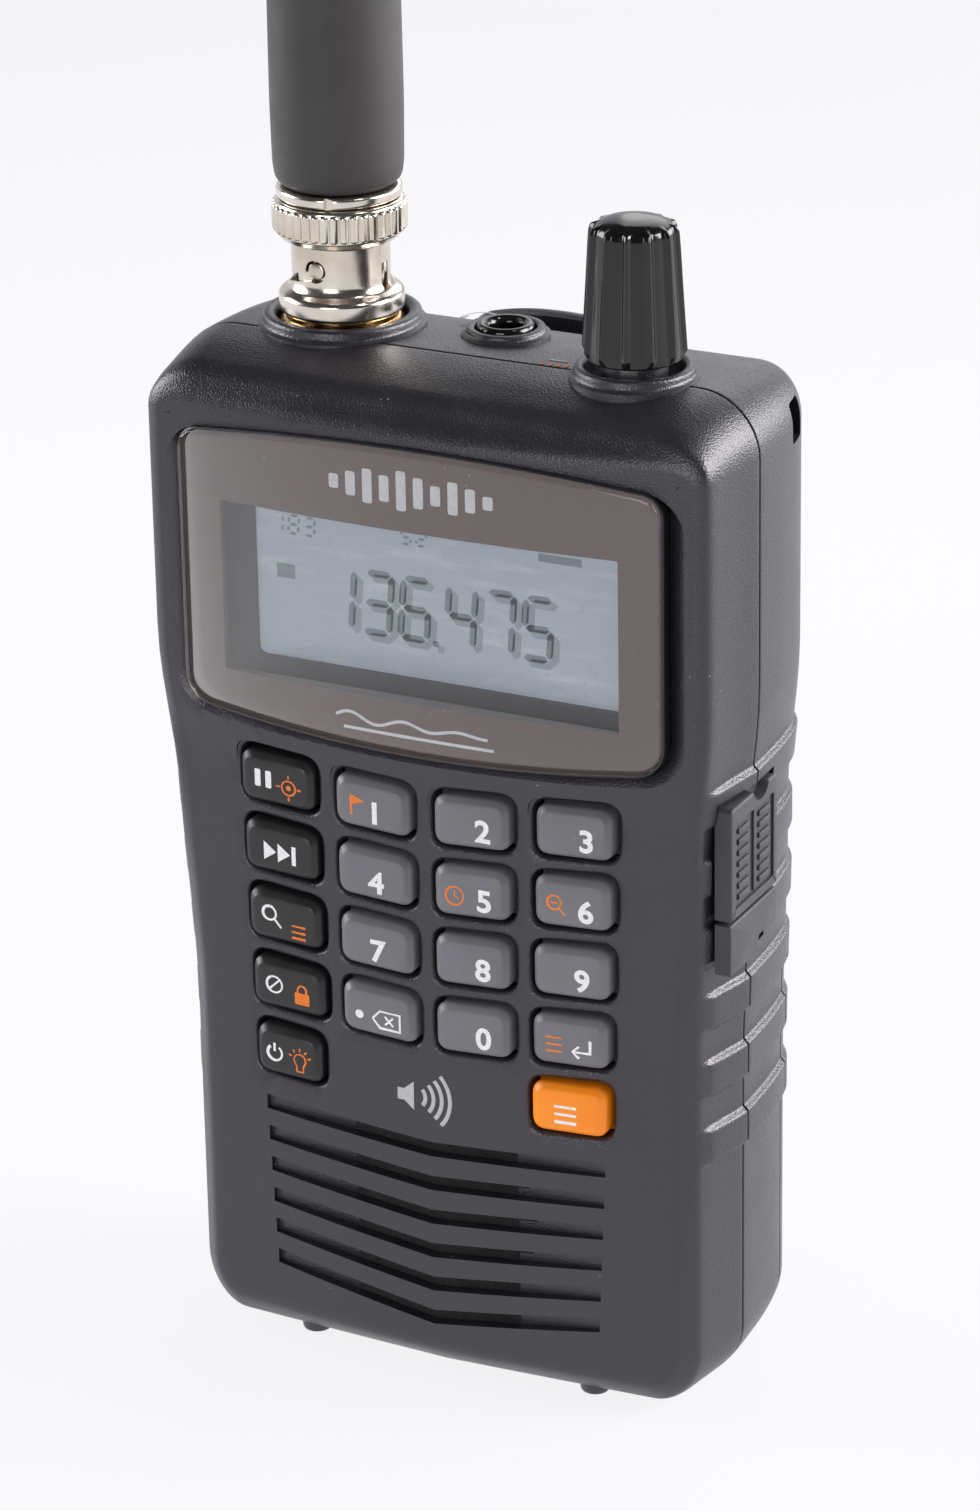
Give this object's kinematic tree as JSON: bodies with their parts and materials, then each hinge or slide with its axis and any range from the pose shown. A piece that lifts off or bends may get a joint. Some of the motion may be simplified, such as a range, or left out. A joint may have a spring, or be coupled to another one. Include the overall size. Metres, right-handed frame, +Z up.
{
  "type": "handheld radio receiver",
  "caption": "Pocket radio receiver with a chevron keypad, a wide display, a rubber aerial on a bayonet socket, a ribbed volume knob, a side port cover and a belt clip.",
  "frame": {"origin": "on the plane the four feet stand on, under the middle of the bounding box", "axes": "+Z up along the case and aerial, -Y out of the display, +X to the viewer's right"},
  "size_m": [0.0683, 0.0408, 0.282],
  "materials": {
    "case_plastic": "fine spark-eroded texture, soft sheen",
    "lens_acrylic": "glossy acrylic, printed taupe behind with a clear window",
    "lcd_glass": "reflective liquid crystal, blue grey",
    "black_plastic": "satin",
    "gloss_black": "polished, ribbed",
    "key_grey": "soft-touch, smooth",
    "key_dark": "soft-touch, smooth",
    "key_orange": "smooth, slightly translucent",
    "silicone": "matt",
    "circuit_board": "solder mask",
    "tinned_steel": "satin",
    "speaker_paper": "matt black",
    "soft_rubber": "matt, moulded grip dots",
    "nickel_plate": "bright nickel plate, fine turning marks",
    "brass_plate": "bright",
    "aerial_rubber": "matt, dusty",
    "cell_wrap": "printed film"
  },
  "bodies": {
    "radio": {"front_case": "case_plastic", "rear_case": "case_plastic", "display_window": "lens_acrylic", "lcd_panel": "lcd_glass", "lcd_holder": "black_plastic", "keypad_mat": "silicone", "main_board": "circuit_board", "rf_board": "circuit_board", "shield_can": "tinned_steel", "speaker_frame": "tinned_steel", "speaker_cone": "speaker_paper", "speaker_magnet": "tinned_steel", "speaker_cloth": "speaker_paper", "usb_jack": "tinned_steel", "port_anchor": "soft_rubber", "aerial_socket": "nickel_plate", "socket_nut": "brass_plate", "phone_socket": "black_plastic", "encoder_body": "tinned_steel", "clip_base": "case_plastic", "clip_pin": "tinned_steel", "clip_screw": "tinned_steel", "battery_1": "cell_wrap", "battery_2": "cell_wrap", "battery_spring_1": "tinned_steel", "battery_spring_2": "tinned_steel", "contact_left": "tinned_steel", "contact_right": "tinned_steel", "case_screw_top_1": "tinned_steel", "case_screw_top_2": "tinned_steel", "case_screw_low_1": "tinned_steel", "case_screw_low_2": "tinned_steel"},
    "key_pause": {"key_pause": "key_dark"},
    "key_1": {"key_1": "key_grey"},
    "key_2": {"key_2": "key_grey"},
    "key_3": {"key_3": "key_grey"},
    "key_scan": {"key_scan": "key_dark"},
    "key_4": {"key_4": "key_grey"},
    "key_5": {"key_5": "key_grey"},
    "key_6": {"key_6": "key_grey"},
    "key_search": {"key_search": "key_dark"},
    "key_7": {"key_7": "key_grey"},
    "key_8": {"key_8": "key_grey"},
    "key_9": {"key_9": "key_grey"},
    "key_lock": {"key_lock": "key_dark"},
    "key_clear": {"key_clear": "key_grey"},
    "key_0": {"key_0": "key_grey"},
    "key_enter": {"key_enter": "key_grey"},
    "key_power": {"key_power": "key_dark"},
    "key_function": {"key_function": "key_orange"},
    "knob": {"volume_knob": "gloss_black", "encoder_shaft": "tinned_steel"},
    "aerial": {"aerial_plug": "nickel_plate", "aerial_sleeve": "aerial_rubber"},
    "coupling": {"aerial_coupling": "nickel_plate"},
    "port_cover": {"port_flap": "soft_rubber"},
    "door": {"battery_door": "case_plastic"},
    "clip": {"clip_arm": "case_plastic"}
  },
  "joints": [
    {"name": "key_pause_press", "type": "slide", "parent": "radio", "child": "key_pause", "axis": [0, 1, 0], "range_m": [0, 0.0007], "stiffness_N_per_m": 900},
    {"name": "key_1_press", "type": "slide", "parent": "radio", "child": "key_1", "axis": [0, 1, 0], "range_m": [0, 0.0007], "stiffness_N_per_m": 900},
    {"name": "key_2_press", "type": "slide", "parent": "radio", "child": "key_2", "axis": [0, 1, 0], "range_m": [0, 0.0007], "stiffness_N_per_m": 900},
    {"name": "key_3_press", "type": "slide", "parent": "radio", "child": "key_3", "axis": [0, 1, 0], "range_m": [0, 0.0007], "stiffness_N_per_m": 900},
    {"name": "key_scan_press", "type": "slide", "parent": "radio", "child": "key_scan", "axis": [0, 1, 0], "range_m": [0, 0.0007], "stiffness_N_per_m": 900},
    {"name": "key_4_press", "type": "slide", "parent": "radio", "child": "key_4", "axis": [0, 1, 0], "range_m": [0, 0.0007], "stiffness_N_per_m": 900},
    {"name": "key_5_press", "type": "slide", "parent": "radio", "child": "key_5", "axis": [0, 1, 0], "range_m": [0, 0.0007], "stiffness_N_per_m": 900},
    {"name": "key_6_press", "type": "slide", "parent": "radio", "child": "key_6", "axis": [0, 1, 0], "range_m": [0, 0.0007], "stiffness_N_per_m": 900},
    {"name": "key_search_press", "type": "slide", "parent": "radio", "child": "key_search", "axis": [0, 1, 0], "range_m": [0, 0.0007], "stiffness_N_per_m": 900},
    {"name": "key_7_press", "type": "slide", "parent": "radio", "child": "key_7", "axis": [0, 1, 0], "range_m": [0, 0.0007], "stiffness_N_per_m": 900},
    {"name": "key_8_press", "type": "slide", "parent": "radio", "child": "key_8", "axis": [0, 1, 0], "range_m": [0, 0.0007], "stiffness_N_per_m": 900},
    {"name": "key_9_press", "type": "slide", "parent": "radio", "child": "key_9", "axis": [0, 1, 0], "range_m": [0, 0.0007], "stiffness_N_per_m": 900},
    {"name": "key_lock_press", "type": "slide", "parent": "radio", "child": "key_lock", "axis": [0, 1, 0], "range_m": [0, 0.0007], "stiffness_N_per_m": 900},
    {"name": "key_clear_press", "type": "slide", "parent": "radio", "child": "key_clear", "axis": [0, 1, 0], "range_m": [0, 0.0007], "stiffness_N_per_m": 900},
    {"name": "key_0_press", "type": "slide", "parent": "radio", "child": "key_0", "axis": [0, 1, 0], "range_m": [0, 0.0007], "stiffness_N_per_m": 900},
    {"name": "key_enter_press", "type": "slide", "parent": "radio", "child": "key_enter", "axis": [0, 1, 0], "range_m": [0, 0.0007], "stiffness_N_per_m": 900},
    {"name": "key_power_press", "type": "slide", "parent": "radio", "child": "key_power", "axis": [0, 1, 0], "range_m": [0, 0.0007], "stiffness_N_per_m": 900},
    {"name": "key_function_press", "type": "slide", "parent": "radio", "child": "key_function", "axis": [0, 1, 0], "range_m": [0, 0.0007], "stiffness_N_per_m": 900},
    {"name": "knob_turn", "type": "hinge", "parent": "radio", "child": "knob", "pos_m": [0.0193, -0.0052, 0.12], "axis": [0, 0, 1], "continuous": true},
    {"name": "aerial_swivel", "type": "hinge", "parent": "radio", "child": "aerial", "pos_m": [-0.0172, -0.0009, 0.13], "axis": [0, 0, 1], "continuous": true},
    {"name": "coupling_lock", "type": "hinge", "parent": "radio", "child": "coupling", "pos_m": [-0.0172, -0.0009, 0.122], "axis": [0, 0, 1], "range_deg": [0, 80]},
    {"name": "port_cover_swing", "type": "hinge", "parent": "radio", "child": "port_cover", "pos_m": [0.03415, -0.0078, 0.0595], "axis": [0, 1, 0], "range_deg": [0, 100]},
    {"name": "battery_door_slide", "type": "slide", "parent": "radio", "child": "door", "axis": [0, 0, -1], "range_m": [0, 0.05]},
    {"name": "clip_open", "type": "hinge", "parent": "radio", "child": "clip", "pos_m": [0, 0.0168, 0.101], "axis": [1, 0, 0], "range_deg": [0, 12], "stiffness_Nm_per_rad": 0.4, "springref_deg": -6.88}
  ]
}
